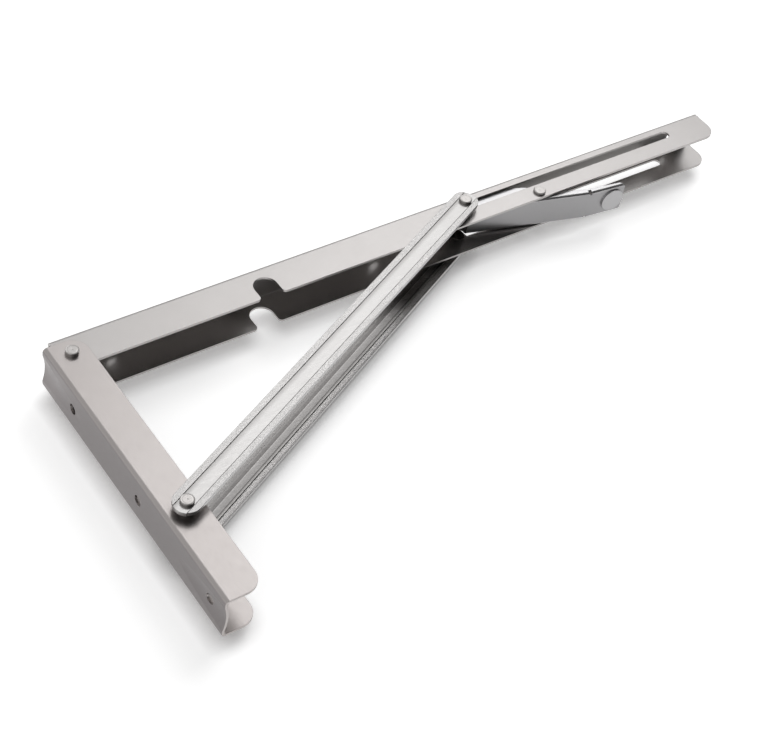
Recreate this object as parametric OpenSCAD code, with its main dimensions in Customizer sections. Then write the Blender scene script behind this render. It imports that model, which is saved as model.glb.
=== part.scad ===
// Folding shelf bracket in pressed stainless steel, shown open and locked.
// The origin is the middle wall screw hole on the wall face. +X points out along the shelf arm,
// +Y across the bracket and +Z up. All sizes are in millimetres.

/* [Wall arm] */
// Width across the outsides of the wall arm's flanges
wall_arm_w = 30; // [29:0.5:40]
// Depth of the wall arm from the wall to its open edge
wall_arm_d = 23.6; // [23:0.2:30]
// Sheet thickness of the wall arm
wall_arm_t = 1.5; // [1:0.1:1.8]
// Outside radius of the wall arm's bends
wall_bend_r = 2.6; // [2:0.1:4]
// Height of the wall arm above the main pivot
wall_arm_top = 9.8; // [9:0.1:12]
// Length of the wall arm below its lowest screw hole
wall_arm_tail = 14.9; // [12:0.1:40]
// Depth the wall arm's web is bowed in at its two ends
web_bow = 1.4; // [0.8:0.1:1.6]
// Width of the bow at the wall arm's ends
web_bow_w = 20; // [18:0.5:21]
// Length over which the bow fades out from each end
web_bow_len = 45; // [38:1:50]
// Radius of the wall arm's corners at its open edge
wall_corner_r = 10.4; // [6:0.1:12]
// Distance between wall screw holes
wall_screw_pitch = 73.6; // [60:0.2:90]
// Diameter of the wall screw holes
wall_screw_d = 6.6; // [4:0.1:8]

/* [Shelf arm] */
// Length of the shelf arm beyond the end of its slot
arm_end = 32.5; // [28:0.5:60]
// Sheet thickness of the shelf arm
shelf_arm_t = 1.5; // [1:0.1:1.8]
// Outside radius of the shelf arm's bends
shelf_bend_r = 2.4; // [2:0.1:4]
// Height of the shelf arm's top face above the main pivot
shelf_rise = 15.5; // [15:0.1:18]
// Depth of the shelf arm's open edge below the main pivot
shelf_skirt = 9; // [8.5:0.1:9.2]
// Length of the shelf arm behind the main pivot
shelf_heel = 7; // [6:0.1:7.4]
// Radius of the shelf arm's lower corner at the main pivot
heel_corner_r = 4; // [3:0.1:6]
// Radius of the shelf arm's lower corner at its far end
far_corner_r = 10; // [4:0.5:14]
// Diameter of the shelf screw holes
shelf_screw_d = 6; // [4:0.1:7]
// Distance from the main pivot to the first shelf screw hole
shelf_screw_start = 34; // [30:1:50]
// Distance from the first shelf screw hole to the second
shelf_screw_pitch = 187; // [150:1:200]
// Distance from the last shelf screw hole to the arm's far end
shelf_screw_end = 20; // [16:0.5:24]

/* [Linkage] */
// Distance of the main pivot out from the wall face
pivot_out = 13.2; // [13:0.1:15]
// Height of the main pivot above the top wall screw hole
pivot_above_screw = 25.7; // [20:0.1:32]
// Drop from the main pivot down to the strut's foot pivot
foot_drop = 126.4; // [125:0.2:130]
// Distance from the main pivot to the slide pin with the bracket open
slide_out = 279.5; // [275:0.5:282]
// Height of the slot's centre line above the main pivot
slot_rise = 5.9; // [5:0.1:7]
// Gap between the flanges of the wall arm and of the shelf arm
arm_gap = 0.5; // [0.3:0.05:0.6]
// Gap between the wall arm's flange and a strut bar at the foot
foot_gap = 3.6; // [3:0.1:5]
// Gap between the shelf arm's flange and a strut bar at the head
head_gap = 2.3; // [2:0.1:3]

/* [Slot and notches] */
// Clearance between the slide pin and the slot on each side
slot_fit = 0.11; // [0.08:0.01:0.2]
// Spare slot beyond the slide pin when the bracket is folded
slot_spare = 15.5; // [4:0.5:20]
// Clearance round the foot tube in its notch
notch_fit = 1.65; // [1.4:0.05:2]
// Height of the notch's closed end above the main pivot
notch_rise = 7.1; // [7:0.1:8]
// Shift of the notch beyond the foot pivot's place when folded
notch_shift = 0.8; // [0:0.1:1]
// Radius of the rounded mouth of the notch
notch_mouth_r = 2.5; // [1:0.5:3]

/* [Strut bars] */
// Width of a strut bar
bar_w = 16.4; // [15:0.2:20]
// Sheet thickness of a strut bar
bar_t = 2.4; // [1.5:0.1:3]
// Width of the pressed panel along a strut bar
bar_panel_w = 8.8; // [8.5:0.1:10]
// Depth of the pressed panel along a strut bar
bar_panel_depth = 0.6; // [0.2:0.1:1]

/* [Release lever] */
// Sheet thickness of the lever
lever_t = 1.2; // [0.8:0.1:1.5]
// Outside radius of the lever's bends
lever_bend_r = 1.8; // [1.6:0.1:2.4]
// Gap between the lever and the inside of the shelf arm
lever_gap = 0.6; // [0.5:0.05:0.9]
// Gap between the lever's nose and the slide pin
nose_gap = 1.6; // [0.8:0.1:2]
// Distance along X from the lever's nose to its rivet
nose_reach = 49.5; // [48:0.5:52]
// Drop of the lever's rivet below the main pivot
lever_drop = 3.7; // [3:0.1:4.2]
// Distance from the lever's rivet down to the outer face of its web
lever_web_drop = 5.6; // [5.2:0.1:6]
// Distance from the lever's rivet to the bend before the thumb tab
lever_neck = 34.5; // [30:0.1:38]
// Length of the thumb tab
thumb_len = 28.6; // [28.4:0.1:36]
// Slope of the lever's web down from the shelf arm
lever_slope = 14.8; // [14:0.1:16]
// Slope of the thumb tab down from the shelf arm
thumb_slope = 6.2; // [4:0.1:8]
// Height of the lever's level top edge above the main pivot
cheek_rise = 10.9; // [10:0.1:11.5]
// Length of the lever's level top edge from its nose
cheek_flat = 21; // [15:0.5:26]
// Radius of the lever's curved top edge down to its rivet
cheek_sweep_r = 54; // [50:1:60]
// Radius of the lever's side round its rivet
cheek_lobe_r = 7; // [6.5:0.1:7.6]
// Height of the lever's rim over its web at the bend
rim_h = 4.3; // [3:0.1:5]
// Height of the lever's rim over its web at the thumb tab's end
rim_end_h = 2.5; // [2:0.1:3]
// Radius of the thumb tab's corners
thumb_corner_r = 3; // [2:0.5:5]
// Diameter of the round thumb pad pressed out of the tab
thumb_pad_d = 16.5; // [12:0.5:17]
// Height of the thumb pad
thumb_pad_h = 1.1; // [0.3:0.1:1.4]
// Distance from the bend to the centre of the thumb pad
thumb_pad_out = 20; // [19:0.1:20]
// Width of the relief cut in the lever's bends
relief_w = 2.4; // [1.5:0.1:3]
// Height of the relief cut in the lever's bends
relief_h = 2.8; // [2.5:0.1:3]

/* [Rivets, tubes and spring] */
// Diameter of the rivets at the main, foot and head pivots
rivet_d = 5.2; // [4:0.1:5.6]
// Diameter of the lever's rivet
lever_rivet_d = 4; // [3:0.1:4.2]
// Diameter of the rivet heads
rivet_head_d = 8; // [7.6:0.1:8.4]
// Thickness of the main rivet's heads
main_head_t = 2.7; // [1:0.1:3]
// Thickness of the heads on the strut's rivets
strut_head_t = 2; // [1:0.1:2.4]
// Thickness of the lever rivet's heads
lever_head_t = 1.5; // [1:0.1:2]
// Diameter of the slide pins in the slot
slide_pin_d = 6.2; // [6:0.1:6.6]
// Diameter of the collar outside the slot
slide_collar_d = 11; // [9:0.2:13]
// Diameter of the collar inside the slot
inner_collar_d = 9; // [8:0.2:9.4]
// Outside diameter of the tube on the foot rivet
foot_tube_d = 12; // [10:0.2:12.4]
// Outside diameter of the tube on the main rivet
main_tube_d = 9; // [7:0.2:11]
// Outside diameter of the washers between the arms
arm_washer_d = 14; // [10:0.5:16]
// Outside diameter of the bushes behind the strut's foot
foot_bush_d = 11; // [9:0.5:14]
// Outside diameter of the tube on the lever's rivet
lever_tube_d = 5.4; // [5.2:0.1:5.6]
// Diameter of the spring wire
spring_wire_d = 0.8; // [0.6:0.05:0.85]
// Number of whole turns in the spring
spring_turns = 4; // [3:1:8]
// Length of the spring leg along the lever
spring_leg = 17; // [12:1:24]

/* [Fits] */
// Radial clearance of a rivet in its hole
rivet_fit = 0.07; // [0.03:0.01:0.1]
// Gap between faces that turn against each other
face_gap = 0.1; // [0.05:0.01:0.12]

/* [Hidden] */
$fn = 64;

// Overrun of a cut beyond the face it opens
over = 1;
// Bevel round the rim of a rivet head
head_bevel = 0.3;

// Half widths across the bracket, from the outside in
wall_half = wall_arm_w / 2;
wall_inner = wall_half - wall_arm_t;
shelf_half = wall_inner - arm_gap;
shelf_inner = shelf_half - shelf_arm_t;
lever_half = shelf_inner - lever_gap;
lever_inner = lever_half - lever_t;

// Pivots in the plane of the linkage, as [x, z]
main_pivot = [pivot_out, wall_screw_pitch + pivot_above_screw];
foot_pivot = main_pivot - [0, foot_drop];
slide_rest = main_pivot + [slide_out, slot_rise];
nose_x = slide_rest[0] + slide_pin_d / 2 + nose_gap;
lever_pivot = [nose_x + nose_reach, main_pivot[1] - lever_drop];

// Strut length between its holes, and how far out the slide pin stands when folded
strut_run = slide_rest - foot_pivot;
strut_len = norm(strut_run);
strut_angle = atan2(strut_run[1], strut_run[0]);
slide_folded = pivot_out + foot_drop + sqrt(strut_len * strut_len - slot_rise * slot_rise);

// Inner faces of the strut bars at their two ends, and the splay between them
foot_face = wall_half + foot_gap;
head_face = shelf_half + head_gap;
strut_splay = atan((foot_face - head_face) / strut_len);
bar_len = strut_len / cos(strut_splay);

// Heights of the two arms
wall_top = main_pivot[1] + wall_arm_top;
wall_bottom = -wall_screw_pitch - wall_arm_tail;
shelf_top = main_pivot[1] + shelf_rise;
shelf_edge = main_pivot[1] - shelf_skirt;
shelf_start = pivot_out - shelf_heel;
slot_z = slide_rest[1];
slot_r = slide_pin_d / 2 + slot_fit;
notch_x = pivot_out + foot_drop + notch_shift;
notch_r = foot_tube_d / 2 + notch_fit;

// Reach of the shelf arm from the wall face, and its screw holes along X
shelf_reach = slide_folded + slot_spare + slot_r + arm_end;
shelf_holes = [
    pivot_out + shelf_screw_start,
    pivot_out + shelf_screw_start + shelf_screw_pitch,
    shelf_reach - shelf_screw_end
];

// Thickness of a slide pin's inner collar, which takes half of the gap beside the lever
inner_collar_t = lever_gap / 2;

// Lever shapes, measured from its rivet
lever_bend = [
    lever_neck * cos(lever_slope) - lever_web_drop * sin(lever_slope),
    -lever_neck * sin(lever_slope) - lever_web_drop * cos(lever_slope)
];
cheek_top = cheek_rise + lever_drop;
cheek_sweep_x = cheek_flat - nose_reach;

// Half length of the spring's coil, and the radius of its wire's centre line
spring_coil_r = lever_tube_d / 2 + rivet_fit + face_gap + spring_wire_d / 2;
spring_pitch = spring_wire_d + face_gap;

// Flat shape in the XZ plane as a plate from y to y + t
module plate(y, t)
    translate([0, y + t, 0])
        rotate([90, 0, 0])
            linear_extrude(t)
                children();

// Round bar or ring along Y from y0 to y1, with its centre at p in the XZ plane
module bar_y(p, y0, y1, d)
    translate([p[0], y0, p[1]])
        rotate([-90, 0, 0])
            cylinder(h = y1 - y0, d = d);

module ring_y(p, y0, y1, d, bore)
    difference() {
        bar_y(p, y0, y1, d);
        bar_y(p, y0 - over, y1 + over, bore);
    }

// The same piece on the front side, facing -Y
module front_side()
    mirror([0, 1, 0])
        children();

// Corner of a plate to be cut away: a square of side r less a round of radius r, opening to +X +Z
module corner_waste(p, r, turn)
    translate(p)
        rotate(turn)
            difference() {
                translate([-over, -over])
                    square(r + over);
                translate([r, r])
                    circle(r);
            }

// Section of a folded channel: web along the top, flanges hanging down
module channel_section(half, depth, t, bend)
    difference() {
        union() {
            translate([-half, -depth])
                square([2 * half, depth - bend]);
            translate([bend - half, -depth])
                square([2 * (half - bend), depth]);
            for (side = [-1, 1])
                translate([side * (half - bend), -bend])
                    circle(bend);
        }
        translate([t - half, -depth - over])
            square([2 * (half - t), depth + over - bend]);
        translate([bend - half, -bend - over])
            square([2 * (half - bend), bend + over - t]);
        for (side = [-1, 1])
            translate([side * (half - bend), -bend])
                circle(bend - t);
    }

// Round-ended slot along X between two centres
module slot_2d(a, b, r) {
    translate([a[0], a[1] - r])
        square([b[0] - a[0], 2 * r]);
    translate(a)
        circle(r);
    translate(b)
        circle(r);
}

// Rivet head standing on a face at y, towards +Y
module rivet_head(p, y, t) {
    bar_y(p, y, y + t - head_bevel, rivet_head_d);
    translate([p[0], y + t - head_bevel, p[1]])
        rotate([-90, 0, 0])
            cylinder(h = head_bevel, d1 = rivet_head_d, d2 = rivet_head_d - 2 * head_bevel);
}

// Through rivet with a head outside each flange
module rivet(p, face, t, d) {
    bar_y(p, -face, face, d);
    rivet_head(p, face, t);
    front_side()
        rivet_head(p, face, t);
}

// Cylinder that leans into the end of the wall arm's web, t behind the face that it bows, for either end
module bow_cylinder(t, z_end, side) {
    r = (web_bow_w * web_bow_w / 4 + web_bow * web_bow) / (2 * web_bow);
    translate([web_bow - r, 0, z_end])
        rotate([0, side * atan(web_bow / web_bow_len), 0])
            translate([0, 0, -2 * web_bow_len])
                cylinder(h = 4 * web_bow_len, r = r + t, $fn = 360);
}

// Wall arm: channel that screws to the wall through its web
module wall_arm() {
    color("#b4b0af")
        difference() {
            union() {
                translate([0, 0, wall_bottom])
                    linear_extrude(wall_top - wall_bottom)
                        rotate(90)
                            channel_section(wall_half, wall_arm_d, wall_arm_t, wall_bend_r);
                for (side = [-1, 1])
                    intersection() {
                        bow_cylinder(wall_arm_t, side > 0 ? wall_top : wall_bottom, side);
                        translate([wall_arm_t / 2, -wall_inner, wall_bottom])
                            cube([wall_arm_d / 2, 2 * wall_inner, wall_top - wall_bottom]);
                    }
            }
            for (side = [-1, 1])
                bow_cylinder(0, side > 0 ? wall_top : wall_bottom, side);
            plate(-wall_half - over, wall_arm_w + 2 * over) {
                corner_waste([wall_arm_d, wall_bottom], wall_corner_r, 90);
                corner_waste([wall_arm_d, wall_top], wall_corner_r, 180);
            }
            for (hole = [-1:1])
                translate([-over, 0, hole * wall_screw_pitch])
                    rotate([0, 90, 0])
                        cylinder(h = web_bow + wall_arm_t + 2 * over, d = wall_screw_d);
            for (pivot = [main_pivot, foot_pivot])
                bar_y(pivot, -wall_half - over, wall_half + over, rivet_d + 2 * rivet_fit);
        }
}

// Notch in both flanges for the foot tube, closed by a half round, with rounded mouth corners
module notch_2d() {
    notch_z = main_pivot[1] + notch_rise - notch_r;
    translate([notch_x - notch_r, shelf_edge - over])
        square([2 * notch_r, notch_z - shelf_edge + over]);
    translate([notch_x, notch_z])
        circle(notch_r);
    corner_waste([notch_x + notch_r, shelf_edge], notch_mouth_r, 0);
    corner_waste([notch_x - notch_r, shelf_edge], notch_mouth_r, 90);
}

// Shelf arm: channel that carries the shelf on its web, slotted for the slide pins
module shelf_arm() {
    color("#c0bdbb")
        difference() {
            translate([shelf_start, 0, shelf_top])
                rotate([90, 0, 90])
                    linear_extrude(shelf_reach - shelf_start)
                        channel_section(shelf_half, shelf_top - shelf_edge, shelf_arm_t, shelf_bend_r);
            plate(-shelf_half - over, 2 * (shelf_half + over)) {
                corner_waste([shelf_start, shelf_edge], heel_corner_r, 0);
                corner_waste([shelf_reach, shelf_edge], far_corner_r, 90);
                notch_2d();
                slot_2d([slide_rest[0], slot_z], [slide_folded + slot_spare, slot_z], slot_r);
            }
            for (x = shelf_holes)
                translate([x, 0, shelf_top - shelf_arm_t - over])
                    cylinder(h = shelf_arm_t + 2 * over, d = shelf_screw_d);
            bar_y(main_pivot, -shelf_half - over, shelf_half + over, rivet_d + 2 * rivet_fit);
            bar_y(lever_pivot, -shelf_half - over, shelf_half + over, lever_rivet_d + 2 * rivet_fit);
        }
}

// Strut bar on the back side, flat: outline with round ends and a panel pressed towards the arm
module flat_bar() {
    rim = bar_w / 2 + over;
    difference() {
        plate(0, bar_t + bar_panel_depth)
            slot_2d([0, 0], [bar_len, 0], bar_w / 2);
        translate([-rim, bar_t, -bar_panel_w / 2])
            cube([bar_len + 2 * rim, bar_panel_depth + over, bar_panel_w]);
        for (edge = [-rim, bar_panel_w / 2])
            translate([-rim, -over, edge])
                cube([bar_len + 2 * rim, bar_panel_depth + over, rim - bar_panel_w / 2]);
    }
}

module strut_bar() {
    color("#cdcbca")
        difference() {
            translate([foot_pivot[0], foot_face, foot_pivot[1]])
                rotate([0, -strut_angle, 0])
                    rotate([0, 0, -strut_splay])
                        flat_bar();
            bar_y(foot_pivot, head_face - over, foot_face + bar_w, rivet_d + 2 * rivet_fit);
            bar_y(slide_rest, head_face - over, foot_face + bar_w, rivet_d + 2 * rivet_fit);
        }
}

module strut_bar_back()
    strut_bar();

module strut_bar_front()
    front_side()
        strut_bar();

// Point at a height over the lever's outer face, out along its web or its thumb tab from the bend
function web_point(slope, out, h) =
    lever_bend + out * [cos(slope), -sin(slope)] + h * [sin(slope), cos(slope)];

// Region above the lever's bent web, from h over its outer face
module above_web_2d(h) {
    mid_slope = (lever_slope + thumb_slope) / 2;
    nose = web_point(lever_slope, -2 * nose_reach, h);
    tip = web_point(thumb_slope, 2 * thumb_len, h);
    polygon([
        nose, web_point(mid_slope, 0, h / cos(lever_slope - mid_slope)), tip,
        [tip[0], 3 * cheek_top], [nose[0], 3 * cheek_top]
    ]);
}

// Side of the lever seen along Y, measured from its rivet
module cheek_2d() {
    intersection() {
        translate([-nose_reach, -3 * cheek_top])
            square([nose_reach + cheek_lobe_r, 4 * cheek_top]);
        union() {
            translate([-nose_reach, -3 * cheek_top])
                square([nose_reach + cheek_sweep_x, 4 * cheek_top]);
            translate([cheek_sweep_x, cheek_top - cheek_sweep_r])
                circle(cheek_sweep_r, $fn = 256);
        }
    }
    circle(cheek_lobe_r);
    polygon([
        [0, 0], web_point(lever_slope, 0, rim_h), web_point(thumb_slope, thumb_len, rim_end_h),
        web_point(thumb_slope, thumb_len, -over), web_point(lever_slope, 0, -2 * over), [0, -3 * cheek_top]
    ]);
}

// Waste along both lower edges of the channel, to round them up to the relief cuts on each side
module edge_waste(half, h, r) {
    run_waste(lever_slope, half, h, r, -2 * nose_reach, relief_w / 3);
    run_waste(thumb_slope, half, h, r, 2 * relief_w / 3, 2 * thumb_len);
}

module run_waste(slope, half, h, r, x0, x1)
    translate([lever_bend[0], 0, lever_bend[1]])
        rotate([0, slope, 0])
            for (side = [0, 1])
                mirror([0, side, 0])
                    translate([x0, 0, 0])
                        rotate([90, 0, 90])
                            linear_extrude(x1 - x0)
                                corner_waste([half, h], r, 90);

// Release lever: folded channel with a thumb tab, riveted between the shelf arm's flanges
module release_lever()
    color("#8e8c8e")
        translate([lever_pivot[0], 0, lever_pivot[1]]) {
            difference() {
                plate(-lever_half, 2 * lever_half)
                    intersection() {
                        above_web_2d(0);
                        cheek_2d();
                    }
                difference() {
                    plate(-lever_inner, 2 * lever_inner)
                        above_web_2d(lever_t);
                    edge_waste(lever_inner, lever_t, lever_bend_r - lever_t);
                }
                edge_waste(lever_half, 0, lever_bend_r);
                bar_y([0, 0], -lever_half - over, lever_half + over, lever_rivet_d + 2 * rivet_fit);
                for (side = [0, 1])
                    mirror([0, side, 0])
                        thumb_place() {
                            translate([0, 0, -over])
                                linear_extrude(3 * cheek_top)
                                    corner_waste([thumb_len, -lever_half], thumb_corner_r, 90);
                            translate([0, lever_inner - over, -over])
                                cube([relief_w, lever_t + 2 * over, relief_h + over]);
                        }
            }
            thumb_place()
                translate([thumb_pad_out, 0, -thumb_pad_h])
                    cylinder(h = thumb_pad_h + lever_t / 2, d = thumb_pad_d);
        }

// Thumb tab's own frame: X along the tab from the bend, Z into the channel from its outer face
module thumb_place()
    translate([lever_bend[0], 0, lever_bend[1]])
        rotate([0, thumb_slope, 0])
            children();

// Main rivet, with its tube between the shelf arm's flanges and a washer between the arms
module main_rivet()
    color("#c9c6c4")
        rivet(main_pivot, wall_half + face_gap, main_head_t, rivet_d);

module main_tube()
    color("#8a8684")
        ring_y(main_pivot, face_gap - shelf_inner, shelf_inner - face_gap,
               main_tube_d, rivet_d + 2 * rivet_fit);

module main_washer_back()
    color("#d8d6d2")
        ring_y(main_pivot, shelf_half + face_gap, wall_inner - face_gap,
               arm_washer_d, rivet_d + 2 * rivet_fit);

module main_washer_front()
    front_side()
        main_washer_back();

// Foot rivet, with its tube inside the wall arm and a bush behind each strut bar
module foot_rivet()
    color("#c9c6c4")
        rivet(foot_pivot, foot_face + bar_t + face_gap, strut_head_t, rivet_d);

module foot_tube()
    color("#8a8684")
        ring_y(foot_pivot, face_gap - wall_inner, wall_inner - face_gap,
               foot_tube_d, rivet_d + 2 * rivet_fit);

module foot_bush_back()
    color("#6e6a68")
        ring_y(foot_pivot, wall_half + face_gap, foot_face - 2 * face_gap,
               foot_bush_d, rivet_d + 2 * rivet_fit);

module foot_bush_front()
    front_side()
        foot_bush_back();

// Slide pin in one flange's slot, held by a collar on each side of the flange
module slide_pin_back() {
    inner_end = shelf_inner - face_gap - inner_collar_t;
    outer_end = head_face - 2 * face_gap;
    color("#8a8684") {
        bar_y(slide_rest, inner_end, outer_end, slide_pin_d);
        bar_y(slide_rest, inner_end, inner_end + inner_collar_t, inner_collar_d);
        bar_y(slide_rest, shelf_half + face_gap, outer_end, slide_collar_d);
    }
}

module slide_pin_front()
    front_side()
        slide_pin_back();

// Head rivet of one strut bar, over the slide pin
module head_rivet_back()
    color("#c9c6c4") {
        bar_y(slide_rest, head_face, head_face + bar_t + face_gap, rivet_d);
        rivet_head(slide_rest, head_face + bar_t + face_gap, strut_head_t);
    }

module head_rivet_front()
    front_side()
        head_rivet_back();

// Lever rivet, with its tube between the lever's sides
module lever_rivet()
    color("#c9c6c4")
        rivet(lever_pivot, shelf_half + face_gap, lever_head_t, lever_rivet_d);

module lever_tube()
    color("#8a8684")
        ring_y(lever_pivot, face_gap - lever_inner, lever_inner - face_gap,
               lever_tube_d, lever_rivet_d + 2 * rivet_fit);

// Torsion spring round the lever's tube: one leg up to the shelf arm's web, one along the lever
spring_sides = 8;
spring_steps = 14;
spring_up = shelf_top - shelf_arm_t - lever_pivot[1] - spring_wire_d;
spring_end = 90 - lever_slope;
spring_twist = 360 * spring_turns + spring_end;
spring_count = spring_turns * spring_steps;

function spring_point(i) =
    let (
        a = 180 - spring_twist * i / spring_count,
        y = spring_pitch * spring_turns * (i / spring_count - 0.5)
    )
    [spring_coil_r * cos(a), y, spring_coil_r * sin(a)];

function spring_path() =
    let (first = spring_point(0), last = spring_point(spring_count), a = 180 - spring_twist)
    concat(
        [[first[0], first[1], spring_up], [first[0], first[1], spring_up / 2]],
        [for (i = [0:spring_count]) spring_point(i)],
        [for (s = [0.5, 1]) last + s * spring_leg * [sin(a), 0, -cos(a)]]
    );

function unit(v) = v / norm(v);

// Wire swept along a path that never runs along Y
function wire_ring(path, i) =
    let (
        tangent = unit(path[min(i + 1, len(path) - 1)] - path[max(i - 1, 0)]),
        across = unit([0, 1, 0] - tangent[1] * tangent),
        up = cross(tangent, across),
        wire_r = spring_wire_d / 2
    )
    [for (k = [0:spring_sides - 1])
        path[i] + wire_r * (cos(360 * k / spring_sides) * across + sin(360 * k / spring_sides) * up)];

module lever_spring() {
    path = spring_path();
    n = spring_sides;
    last = len(path) - 1;
    color("#9a9896")
        translate([lever_pivot[0], 0, lever_pivot[1]])
            polyhedron(
                points = [for (i = [0:last]) each wire_ring(path, i)],
                faces = concat(
                    [[for (k = [0:n - 1]) k]],
                    [for (i = [0:last - 1]) for (k = [0:n - 1])
                        [i * n + k, (i + 1) * n + k, (i + 1) * n + (k + 1) % n, i * n + (k + 1) % n]],
                    [[for (k = [n - 1:-1:0]) last * n + k]]
                )
            );
}

wall_arm();
shelf_arm();
strut_bar_front();
strut_bar_back();
release_lever();
main_rivet();
main_tube();
main_washer_front();
main_washer_back();
foot_rivet();
foot_tube();
foot_bush_front();
foot_bush_back();
slide_pin_front();
slide_pin_back();
head_rivet_front();
head_rivet_back();
lever_rivet();
lever_tube();
lever_spring();
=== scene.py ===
"""Looks of a folding shelf bracket in satin stainless steel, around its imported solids."""

import math

import bpy
from mathutils import Matrix, Vector


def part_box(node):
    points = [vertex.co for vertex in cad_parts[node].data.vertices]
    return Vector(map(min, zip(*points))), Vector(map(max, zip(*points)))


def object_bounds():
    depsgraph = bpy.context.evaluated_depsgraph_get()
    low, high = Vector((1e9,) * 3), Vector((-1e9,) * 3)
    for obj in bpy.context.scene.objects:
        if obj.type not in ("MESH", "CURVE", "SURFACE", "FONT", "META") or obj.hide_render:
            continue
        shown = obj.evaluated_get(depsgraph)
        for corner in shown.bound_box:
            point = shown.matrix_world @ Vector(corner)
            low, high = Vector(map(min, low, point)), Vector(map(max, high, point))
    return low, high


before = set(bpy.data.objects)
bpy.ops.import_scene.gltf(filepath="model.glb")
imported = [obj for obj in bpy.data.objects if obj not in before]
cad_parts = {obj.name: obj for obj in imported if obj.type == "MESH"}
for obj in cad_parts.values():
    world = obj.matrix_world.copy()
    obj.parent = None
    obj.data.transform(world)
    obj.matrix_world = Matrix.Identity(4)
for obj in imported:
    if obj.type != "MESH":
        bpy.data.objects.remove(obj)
cad_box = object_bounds()

# Camera. It stands below the open shelf arm, in front and towards the wall, with a long lens.
# Its place and its picture's right and down directions were fitted to the bracket's straight edges.
CAMERA_AT = Vector((-0.3211, -0.7389, -0.5165))
PICTURE_RIGHT = Vector((0.81551, -0.13943, -0.56170))
PICTURE_DOWN = Vector((-0.32945, 0.68611, -0.64863))
LENS_MM = 83.32
SENSOR_MM = 36.0
NEAREST_MM = 10

camera = bpy.data.objects.new("camera", bpy.data.cameras.new("camera"))
bpy.context.scene.collection.objects.link(camera)
camera.data.lens = LENS_MM
camera.data.sensor_fit = "HORIZONTAL"
camera.data.sensor_width = SENSOR_MM
camera.data.clip_start = NEAREST_MM / 1000
ahead = PICTURE_RIGHT.cross(PICTURE_DOWN).normalized()
across = PICTURE_RIGHT.normalized()
upward = across.cross(ahead)
turn = Matrix((across, upward, -ahead)).transposed()
camera.matrix_world = Matrix.Translation(CAMERA_AT) @ turn.to_4x4()
bpy.context.scene.camera = camera


# Wall arm. It is a channel folded from 1.5 mm stainless sheet, and screws through its web hold it.
# The satin rolled finish is a fine grain along the arm, faintly cloudy where it was handled. The edges
# are barely broken, so they catch a thin line of light. The web is painted darker than the flanges, a
# painted shade standing in for the shadowed floor that it mirrors.
def linear(hex_code):
    """Linear RGBA of an sRGB colour written as six hex digits."""
    parts = [int(hex_code[i:i + 2], 16) / 255 for i in (0, 2, 4)]
    return [p / 12.92 if p <= 0.04045 else ((p + 0.055) / 1.055) ** 2.4 for p in parts] + [1.0]


def add_node(tree, kind, inputs=None, stops=(), **settings):
    """Adds a node with its settings, and its inputs set or linked. A ramp takes its stops too."""
    node = tree.nodes.new(kind)
    for name, value in settings.items():
        setattr(node, name, value)
    for name, value in (inputs or {}).items():
        if isinstance(value, bpy.types.NodeSocket):
            tree.links.new(value, node.inputs[name])
        else:
            node.inputs[name].default_value = value
    if stops:
        ramp = node.color_ramp.elements
        for place, colour in stops[1:-1]:
            ramp.new(place).color = colour
        ramp[0].color = stops[0][1]
        ramp[len(ramp) - 1].color = stops[-1][1]
    return node


# Real grain is about 0.05 mm wide, too fine to show. It is drawn 0.2 to 0.9 mm wide, as coarse as each
# piece needs it, with marks 12 times as long as they are wide. The clouds lie about 56 mm apart.
GRAIN_LENGTHS = 12
GRAIN_RELIEF_MM = 0.2
POLISH_SPREAD = 0.04
CLOUD_MM = 55.6
ALONG_X, ALONG_Y, ALONG_Z = range(3)


def worked_finish(name, light, dark, roughness, grain_mm, along, bump=0.05, edge_mm=0.3, metallic=1.0):
    """A worked surface: a grain drawn out along one direction, cloudy patches and barely broken edges.

    Returns the material, its node tree, and the nodes that a piece's own marks are joined to.
    """
    material = bpy.data.materials.new(name)
    material.use_nodes = True
    tree = material.node_tree
    tree.nodes.clear()
    place = add_node(tree, "ShaderNodeTexCoord")
    grain_scale = 1000 / grain_mm
    stretch = [grain_scale if axis != along else grain_scale / GRAIN_LENGTHS for axis in range(3)]
    spread = add_node(tree, "ShaderNodeMapping", {
        "Vector": place.outputs["Object"], "Scale": stretch}, vector_type="POINT")
    grain = add_node(tree, "ShaderNodeTexNoise", {
        "Vector": spread.outputs["Vector"], "Scale": 1.0, "Detail": 3.0, "Roughness": 0.6})
    cloud = add_node(tree, "ShaderNodeTexNoise", {
        "Vector": place.outputs["Object"], "Scale": 1000 / CLOUD_MM, "Detail": 4.0, "Roughness": 0.6})
    tone = add_node(tree, "ShaderNodeMix", {
        "Factor": cloud.outputs["Fac"], "A": linear(dark), "B": linear(light)}, data_type="RGBA")
    polish = add_node(tree, "ShaderNodeMapRange", {
        "Value": grain.outputs["Fac"], "From Min": 0.3, "From Max": 0.7,
        "To Min": roughness - POLISH_SPREAD, "To Max": roughness + POLISH_SPREAD})
    broken = add_node(tree, "ShaderNodeBevel", {"Radius": edge_mm / 1000}, samples=4)
    relief = add_node(tree, "ShaderNodeBump", {
        "Height": grain.outputs["Fac"], "Strength": bump, "Distance": GRAIN_RELIEF_MM / 1000,
        "Normal": broken.outputs["Normal"]})
    shader = add_node(tree, "ShaderNodeBsdfPrincipled", {
        "Base Color": tone.outputs["Result"], "Roughness": polish.outputs["Result"],
        "Metallic": metallic, "Normal": relief.outputs["Normal"]})
    add_node(tree, "ShaderNodeOutputMaterial", {"Surface": shader.outputs["BSDF"]})
    return material, tree, {"place": place, "tone": tone, "relief": relief, "shader": shader}


def dress(material, *node_names):
    """Gives solids their finish."""
    for node_name in node_names:
        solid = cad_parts[node_name]
        solid.data.materials.clear()
        solid.data.materials.append(material)
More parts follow.
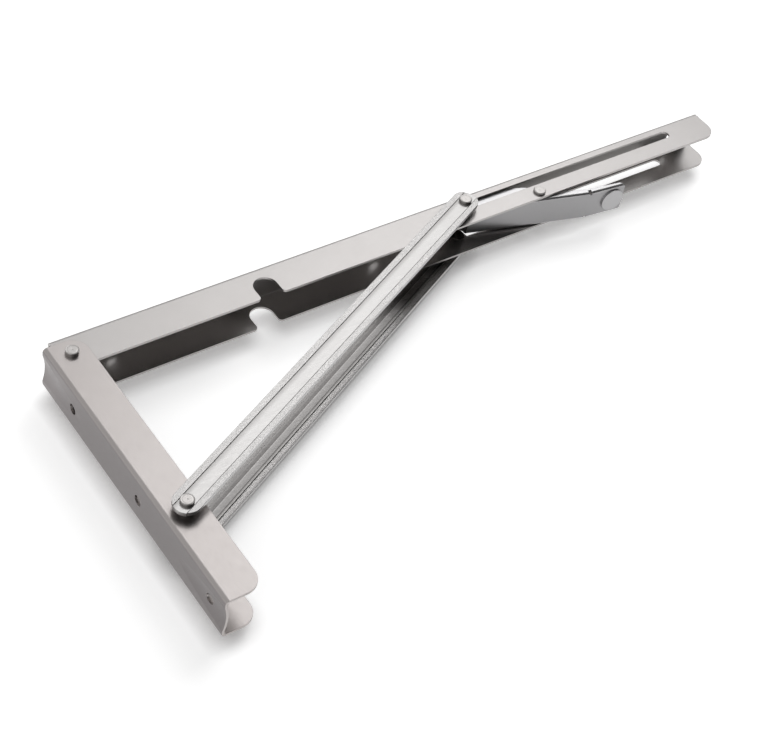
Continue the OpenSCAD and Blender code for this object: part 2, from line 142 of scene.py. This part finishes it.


# The web is told apart by how squarely a face looks along X. It is painted darker, a painted shade that
# comes in round the bends.
WEB_PAINTED_SHADE = "8a8585"
WEB_BEGINS = 0.75
WEB_FULL = 0.97
wall_steel, tree, parts = worked_finish(
    "satin_rolled_stainless_wall_arm", light="c2bdbb", dark="b4aeac", roughness=0.34, grain_mm=0.5,
    along=ALONG_Z)
faces = add_node(tree, "ShaderNodeSeparateXYZ", {"Vector": parts["place"].outputs["Normal"]})
wallward = add_node(tree, "ShaderNodeMath", {0: faces.outputs["X"]}, operation="ABSOLUTE")
web_shade_share = add_node(tree, "ShaderNodeMapRange", {
    "Value": wallward.outputs[0], "From Min": WEB_BEGINS, "From Max": WEB_FULL},
    interpolation_type="SMOOTHSTEP")
web_shaded = add_node(tree, "ShaderNodeMix", {
    "Factor": web_shade_share.outputs["Result"], "A": parts["tone"].outputs["Result"], "B": linear(WEB_PAINTED_SHADE)},
    data_type="RGBA")
tree.links.new(web_shaded.outputs["Result"], parts["shader"].inputs["Base Color"])
dress(wall_steel, "wall_arm")

# Shelf arm. It is folded from the same stainless sheet as the wall arm and turns on the main rivet.
# Its grain runs along it, and its inside shows dark, because it mostly mirrors its own walls.
shelf_steel, _, _ = worked_finish(
    "satin_rolled_stainless_shelf_arm", light="bdbab9", dark="b1aeac", roughness=0.32, grain_mm=0.5,
    along=ALONG_X)
dress(shelf_steel, "shelf_arm")


# Strut bars. Each is pressed from a stainless strip, and they turn on the foot rivet beside the wall arm.
# A smooth panel runs down the middle of the outer face, painted darker towards its upper edge, a painted
# shade. The borders beside it are granular where the tool gripped, and a painted line runs along each
# edge of the panel: painted shade along its lower edge and a painted highlight along its upper edge.
def middle_of(node_name):
    """Middle of a solid's box."""
    low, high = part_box(node_name)
    return (low + high) / 2


foot = middle_of("foot_rivet")
head = middle_of("head_rivet_front")
strut_angle = math.atan2(head.z - foot.z, head.x - foot.x)
BAR_HALF_MM = 8.2
PANEL_HALF_MM = 4.4
PANEL_FADE_MM = 0.4
PANEL_PAINTED_SHADE = "7d7b7a"
PAINTED_SHADE_SHARE = 0.6
PAINTED_SHADE_STARTS = 0.1
LINE_OFF_MM = 4.5
LINE_HALF_MM = 0.2
LOWER_LINE_PAINTED_SHADE = "5c5958"
UPPER_LINE_PAINTED_HIGHLIGHT = "b6b4b3"
# The granules are about 0.15 mm wide, and are drawn coarser so that they show.
GRANULE_MM = 0.4
GRANULE_RELIEF_MM = 0.3
GRANULE_DARKEST = 0.74
GRANULE_LIGHTEST = 1.34
INNER_GRANULES = 0.5
# The inner faces carry a painted band of light and shade across the bar, standing in for their pressed
# profile and for the shadow of the other bar: a strip of painted light, a painted dark groove, a rib
# with a painted highlight on its ridge, a second painted groove, and a strip of painted shadow that
# pales towards the upper edge. Each tone stands at its place in millimetres above the bar's middle line.
PAINTED_LIGHT_STRIP = ((-8.2, "a4a2a1"), (-7.0, "dcdad9"), (-5.5, "dad8d7"), (-4.0, "b4b2b0"), (-3.0, "7c7a79"))
LOWER_GROOVE_SHADE = ((-2.7, "4e4c4b"),)
RIB_AND_PAINTED_HIGHLIGHT = ((-2.4, "92908f"), (0.6, "92908f"), (1.1, "a8a6a5"))
UPPER_GROOVE_SHADE = ((1.5, "625f5e"),)
PAINTED_SHADOW_STRIP = ((1.9, "6e6c6b"), (3.0, "706e6d"), (4.6, "8e8c8b"), (8.2, "9d9b9a"))
PAINTED_PROFILE_SHADING = PAINTED_LIGHT_STRIP + LOWER_GROOVE_SHADE + RIB_AND_PAINTED_HIGHLIGHT + UPPER_GROOVE_SHADE + PAINTED_SHADOW_STRIP
bar_steel, tree, parts = worked_finish(
    "pressed_stainless_strut", light="bfbebd", dark="b7b5b4", roughness=0.3, grain_mm=0.5, along=ALONG_X)
along_bar = add_node(tree, "ShaderNodeMapping", {
    "Vector": parts["place"].outputs["Object"], "Location": foot, "Rotation": (0.0, -strut_angle, 0.0)},
    vector_type="TEXTURE")
bar_axes = add_node(tree, "ShaderNodeSeparateXYZ", {"Vector": along_bar.outputs["Vector"]})
off_middle = add_node(tree, "ShaderNodeMath", {0: bar_axes.outputs["Z"]}, operation="ABSOLUTE")
border = add_node(tree, "ShaderNodeMapRange", {
    "Value": off_middle.outputs[0], "From Min": PANEL_HALF_MM / 1000,
    "From Max": (PANEL_HALF_MM + PANEL_FADE_MM) / 1000}, interpolation_type="SMOOTHSTEP")
panel = add_node(tree, "ShaderNodeMath", {0: 1.0, 1: border.outputs["Result"]}, operation="SUBTRACT")
# Painted shade: the panel is painted darker from its middle towards its upper edge.
upper_shade_ramp = add_node(tree, "ShaderNodeMapRange", {
    "Value": bar_axes.outputs["Z"], "From Min": 0.0, "From Max": PANEL_HALF_MM / 1000,
    "To Max": PAINTED_SHADE_SHARE}, interpolation_type="SMOOTHSTEP")
panel_shade_share = add_node(tree, "ShaderNodeMath", {
    0: upper_shade_ramp.outputs["Result"], 1: panel.outputs[0], 2: -PAINTED_SHADE_STARTS}, operation="MULTIPLY_ADD")
shaded = add_node(tree, "ShaderNodeMix", {
    "Factor": panel_shade_share.outputs[0], "A": parts["tone"].outputs["Result"],
    "B": linear(PANEL_PAINTED_SHADE)}, data_type="RGBA")
granule = add_node(tree, "ShaderNodeTexNoise", {
    "Vector": parts["place"].outputs["Object"], "Scale": 1000 / GRANULE_MM, "Detail": 2.0,
    "Roughness": 0.7})
granule_tone = add_node(tree, "ShaderNodeMapRange", {
    "Value": granule.outputs["Fac"], "From Min": 0.38, "From Max": 0.62,
    "To Min": GRANULE_DARKEST, "To Max": GRANULE_LIGHTEST})
speckled = add_node(tree, "ShaderNodeMix", {
    "Factor": border.outputs["Result"], "A": shaded.outputs["Result"],
    "B": granule_tone.outputs["Result"]}, data_type="RGBA", blend_type="MULTIPLY")
# Painted lines along the panel's edges: a painted shade below the middle and a painted highlight above
# it.
on_painted_line = add_node(tree, "ShaderNodeMath", {
    0: off_middle.outputs[0], 1: LINE_OFF_MM / 1000, 2: LINE_HALF_MM / 1000}, operation="COMPARE")
above = add_node(tree, "ShaderNodeMath", {0: bar_axes.outputs["Z"], 1: 0.0}, operation="GREATER_THAN")
painted_line_tone = add_node(tree, "ShaderNodeMix", {
    "Factor": above.outputs[0], "A": linear(LOWER_LINE_PAINTED_SHADE), "B": linear(UPPER_LINE_PAINTED_HIGHLIGHT)}, data_type="RGBA")
painted_lines = add_node(tree, "ShaderNodeMix", {
    "Factor": on_painted_line.outputs[0], "A": speckled.outputs["Result"], "B": painted_line_tone.outputs["Result"]},
    data_type="RGBA")
# Painted light and shade across the inner faces, with the granules laid over it.
profile_place = add_node(tree, "ShaderNodeMapRange", {
    "Value": bar_axes.outputs["Z"], "From Min": -BAR_HALF_MM / 1000, "From Max": BAR_HALF_MM / 1000})
painted_profile_stops = [
    ((place_mm + BAR_HALF_MM) / (2 * BAR_HALF_MM), linear(profile_tone)) for place_mm, profile_tone in PAINTED_PROFILE_SHADING]
marks = add_node(tree, "ShaderNodeValToRGB", {"Fac": profile_place.outputs["Result"]}, painted_profile_stops)
painted_profile_granular = add_node(tree, "ShaderNodeMix", {
    "Factor": INNER_GRANULES, "A": marks.outputs["Color"], "B": granule_tone.outputs["Result"]},
    data_type="RGBA", blend_type="MULTIPLY")
faces = add_node(tree, "ShaderNodeSeparateXYZ", {"Vector": parts["place"].outputs["Normal"]})
bar_side = add_node(tree, "ShaderNodeMath", {0: bar_axes.outputs["Y"]}, operation="SIGN")
outward = add_node(tree, "ShaderNodeMath", {
    0: faces.outputs["Y"], 1: bar_side.outputs[0]}, operation="MULTIPLY")
inner = add_node(tree, "ShaderNodeMath", {0: outward.outputs[0], 1: -0.5}, operation="LESS_THAN")
two_sided = add_node(tree, "ShaderNodeMix", {
    "Factor": inner.outputs[0], "A": painted_lines.outputs["Result"], "B": painted_profile_granular.outputs["Result"]},
    data_type="RGBA")
tree.links.new(two_sided.outputs["Result"], parts["shader"].inputs["Base Color"])
granule_height = add_node(tree, "ShaderNodeMath", {
    0: granule.outputs["Fac"], 1: border.outputs["Result"]}, operation="MULTIPLY")
granule_relief = add_node(tree, "ShaderNodeBump", {
    "Height": granule_height.outputs[0], "Strength": 0.35, "Distance": GRANULE_RELIEF_MM / 1000,
    "Normal": parts["relief"].outputs["Normal"]})
tree.links.new(granule_relief.outputs["Normal"], parts["shader"].inputs["Normal"])
dress(bar_steel, "strut_bar_front", "strut_bar_back")

# Release lever. It is folded from thinner stainless sheet and turns on its own rivet in the shelf arm.
# The sheet was ground along its length, which leaves it a neutral grey. The cheeks are painted
# lighter than the web, a painted highlight, and the round pad for the thumb is drawn lighter too.
PAD_FROM_RIVET_MM = Vector((51.9, 0.0, -18.1))
PAD_R_MM = 8.1
PAD_TONE = "b4b3b4"
CHEEK_PAINTED_HIGHLIGHT = "d0cfd0"
CHEEK_BEGINS = 0.08
CHEEK_FULL = 0.45
pad_middle = middle_of("lever_rivet") + PAD_FROM_RIVET_MM / 1000
lever_steel, tree, parts = worked_finish(
    "ground_stainless_lever", light="a2a1a2", dark="989798", roughness=0.34, grain_mm=0.3, along=ALONG_X,
    bump=0.02)
# Painted highlight: faces turned along Y, the cheeks, are painted lighter.
faces = add_node(tree, "ShaderNodeSeparateXYZ", {"Vector": parts["place"].outputs["Normal"]})
sideways = add_node(tree, "ShaderNodeMath", {0: faces.outputs["Y"]}, operation="ABSOLUTE")
cheek_highlight_share = add_node(tree, "ShaderNodeMapRange", {
    "Value": sideways.outputs[0], "From Min": CHEEK_BEGINS, "From Max": CHEEK_FULL},
    interpolation_type="SMOOTHSTEP")
cheek_highlighted = add_node(tree, "ShaderNodeMix", {
    "Factor": cheek_highlight_share.outputs["Result"], "A": parts["tone"].outputs["Result"],
    "B": linear(CHEEK_PAINTED_HIGHLIGHT)}, data_type="RGBA")
from_pad = add_node(tree, "ShaderNodeVectorMath", {
    0: parts["place"].outputs["Object"], 1: pad_middle}, operation="DISTANCE")
on_pad = add_node(tree, "ShaderNodeMath", {
    0: from_pad.outputs["Value"], 1: PAD_R_MM / 1000}, operation="LESS_THAN")
padded = add_node(tree, "ShaderNodeMix", {
    "Factor": on_pad.outputs[0], "A": cheek_highlighted.outputs["Result"], "B": linear(PAD_TONE)},
    data_type="RGBA")
tree.links.new(padded.outputs["Result"], parts["shader"].inputs["Base Color"])
dress(lever_steel, "release_lever")

# Rivets. They are stainless rod, and their heads were spun over when the bracket was put together.
# Spinning leaves a small pit in the middle of each head and a soft ring near its rim.
HEAD_R_MM = 4.2
HEAD_RELIEF_MM = 0.4
HEAD_HEIGHTS = ((0.0, 0.2), (0.16, 0.62), (0.6, 0.66), (0.74, 0.45), (0.88, 0.9), (1.0, 0.1))
head_stops = [(place, (height, height, height, 1.0)) for place, height in HEAD_HEIGHTS]
for rivet in ("main_rivet", "foot_rivet", "lever_rivet", "head_rivet_front", "head_rivet_back"):
    axis = middle_of(rivet)
    rivet_steel, tree, parts = worked_finish(
        "spun_stainless_" + rivet, light="c2bfbd", dark="aeaba9", roughness=0.3, grain_mm=0.9,
        along=ALONG_Y)
    off_axis = add_node(tree, "ShaderNodeVectorMath", {
        0: parts["place"].outputs["Object"], 1: (1.0, 0.0, 1.0), 2: (-axis.x, 0.0, -axis.z)},
        operation="MULTIPLY_ADD")
    reach = add_node(tree, "ShaderNodeVectorMath", {0: off_axis.outputs["Vector"]}, operation="LENGTH")
    reach_share = add_node(tree, "ShaderNodeMapRange", {
        "Value": reach.outputs["Value"], "From Min": 0.0, "From Max": HEAD_R_MM / 1000})
    head_shape = add_node(tree, "ShaderNodeValToRGB", {"Fac": reach_share.outputs["Result"]}, head_stops)
    head_shape.color_ramp.interpolation = "EASE"
    spun = add_node(tree, "ShaderNodeBump", {
        "Height": head_shape.outputs["Color"], "Strength": 0.5, "Distance": HEAD_RELIEF_MM / 1000,
        "Normal": parts["relief"].outputs["Normal"]})
    tree.links.new(spun.outputs["Normal"], parts["shader"].inputs["Normal"])
    dress(rivet_steel, rivet)

# Tubes, bushes and slide pins. They are cut from steel tube and bar, turned smooth, and sit on the rivets
# or in the slots. Their fine marks hardly show, and the plain steel is darker than the stainless sheet.
tube_steel, _, _ = worked_finish(
    "turned_steel_tube", light="8f8a88", dark="7d7876", roughness=0.3, grain_mm=0.3, along=ALONG_Y)
dress(tube_steel, "main_tube", "foot_tube", "lever_tube", "foot_bush_front", "foot_bush_back",
      "slide_pin_front", "slide_pin_back")

# Spring. It is wound from drawn spring wire round the lever's tube, and pushes the lever back down.
# Drawing leaves the wire bright, with fine marks.
spring_steel, _, _ = worked_finish(
    "drawn_spring_wire", light="a5a2a0", dark="8f8c8a", roughness=0.3, grain_mm=0.2, along=ALONG_Y,
    edge_mm=0.05)
dress(spring_steel, "lever_spring")

# Washers. They are thin nylon discs on the main rivet, which keep the two arms from rubbing.
# Moulded nylon is milky, and matte beside the steel.
nylon, _, _ = worked_finish(
    "milky_moulded_nylon", light="e2e0da", dark="d8d6d0", roughness=0.5, grain_mm=0.4, along=ALONG_Y,
    edge_mm=0.05, metallic=0.0)
dress(nylon, "main_washer_front", "main_washer_back")

# Floor. The bracket lies on its side on white paper, so the floor is upright beyond its back side.
# It is clear to a camera behind it, so views from there see the bracket too. Its glow fades where the
# bracket stands close over it, which gives the soft shadows of contact.
FLOOR_GAP_MM = 0.2
FLOOR_HALF_M = 3.0
FLOOR_TONE = "f4f4f4"
FLOOR_GLOW = 0.55
MIRRORED_GLOW = 0.8
CONTACT_MM = 13
CONTACT_DEPTH = 2.2
floor_y = cad_box[1].y + FLOOR_GAP_MM / 1000
floor_corners = [
    (x * FLOOR_HALF_M, floor_y, z * FLOOR_HALF_M) for x, z in ((-1, -1), (1, -1), (1, 1), (-1, 1))]
floor_mesh = bpy.data.meshes.new("floor")
floor_mesh.from_pydata(floor_corners, [], [(0, 1, 2, 3)])
floor = bpy.data.objects.new("floor", floor_mesh)
bpy.context.scene.collection.objects.link(floor)

paper = bpy.data.materials.new("white_paper")
paper.use_nodes = True
tree = paper.node_tree
tree.nodes.clear()
rays = add_node(tree, "ShaderNodeLightPath")
sides = add_node(tree, "ShaderNodeNewGeometry")
cover = add_node(tree, "ShaderNodeAmbientOcclusion", {"Distance": CONTACT_MM / 1000}, samples=8)
contact = add_node(tree, "ShaderNodeMath", {
    0: cover.outputs["AO"], 1: CONTACT_DEPTH}, operation="POWER")
seen = add_node(tree, "ShaderNodeMath", {
    0: rays.outputs["Is Camera Ray"], 1: contact.outputs[0]}, operation="MULTIPLY")
mirrored = add_node(tree, "ShaderNodeMath", {
    0: rays.outputs["Is Glossy Ray"], 1: rays.outputs["Is Transmission Ray"]},
    operation="ADD", use_clamp=True)
glow_share = add_node(tree, "ShaderNodeMath", {
    0: mirrored.outputs[0], 1: MIRRORED_GLOW, 2: seen.outputs[0]}, operation="MULTIPLY_ADD")
glow_level = add_node(tree, "ShaderNodeMath", {
    0: glow_share.outputs[0], 1: FLOOR_GLOW}, operation="MULTIPLY")
glow = add_node(tree, "ShaderNodeEmission", {
    "Color": linear("ffffff"), "Strength": glow_level.outputs[0]})
matte = add_node(tree, "ShaderNodeBsdfDiffuse", {"Color": linear(FLOOR_TONE)})
lit = add_node(tree, "ShaderNodeAddShader", {0: glow.outputs[0], 1: matte.outputs[0]})
clear = add_node(tree, "ShaderNodeBsdfTransparent")
from_behind = add_node(tree, "ShaderNodeMath", {
    0: rays.outputs["Is Camera Ray"], 1: sides.outputs["Backfacing"]}, operation="MULTIPLY")
surface = add_node(tree, "ShaderNodeMixShader", {
    0: from_behind.outputs[0], 1: lit.outputs[0], 2: clear.outputs[0]})
add_node(tree, "ShaderNodeOutputMaterial", {"Surface": surface.outputs[0]})
floor.data.materials.append(paper)

# Room. Its walls are pale all round apart from one dark side, low in front, beyond the open arm's end.
# The insides of the channels mirror that side, so they stay dark. The camera itself sees plain white.
DARK_SIDE = (0.55, -0.35, -0.76)
DARK_BEGINS = 0.2
DARK_FULL = 0.75
ROOM_PALE = 0.6
ROOM_DARK = 0.05
world = bpy.data.worlds.new("room")
world.use_nodes = True
bpy.context.scene.world = world
room = world.node_tree
room.nodes.clear()
rays = add_node(room, "ShaderNodeLightPath")
direction = add_node(room, "ShaderNodeTexCoord")
darkward = add_node(room, "ShaderNodeVectorMath", {
    0: direction.outputs["Generated"], 1: DARK_SIDE}, operation="DOT_PRODUCT")
room_level = add_node(room, "ShaderNodeMapRange", {
    "Value": darkward.outputs["Value"], "From Min": DARK_BEGINS, "From Max": DARK_FULL,
    "To Min": ROOM_PALE, "To Max": ROOM_DARK}, interpolation_type="SMOOTHSTEP")
room_walls = add_node(room, "ShaderNodeBackground", {
    "Color": linear("ffffff"), "Strength": room_level.outputs["Result"]})
room_white = add_node(room, "ShaderNodeBackground", {"Color": linear("ffffff"), "Strength": 1.0})
room_seen = add_node(room, "ShaderNodeMixShader", {
    0: rays.outputs["Is Camera Ray"], 1: room_walls.outputs[0], 2: room_white.outputs[0]})
add_node(room, "ShaderNodeOutputWorld", {"Surface": room_seen.outputs[0]})

# Lamps. A soft box beyond the arm's end, in front and above, shines off the faces turned to the camera.
# A second one beside it isn't mirrored by the steel, and deepens the bracket's shadow on the floor.
LAMPS_AIM_AT = Vector((0.22, 0.0, 0.03))
SOFT_BOXES = {
    "key_light": {"offset_m": (1.47, -2.325, 1.2), "side_m": 1.8, "watts": 14.4, "mirrored": True},
    "shadow_light": {"offset_m": (1.8, -2.16, 0.9), "side_m": 1.5, "watts": 18.0, "mirrored": False}}
for name, soft_box in SOFT_BOXES.items():
    light = bpy.data.lights.new(name, "AREA")
    light.shape = "SQUARE"
    light.size = soft_box["side_m"]
    light.energy = soft_box["watts"]
    lamp = bpy.data.objects.new(name, light)
    lamp.visible_glossy = soft_box["mirrored"]
    bpy.context.scene.collection.objects.link(lamp)
    lamp.location = LAMPS_AIM_AT + Vector(soft_box["offset_m"])
    lamp.rotation_euler = (LAMPS_AIM_AT - lamp.location).to_track_quat("-Z", "Y").to_euler()

bpy.context.scene.view_settings.view_transform = "Standard"
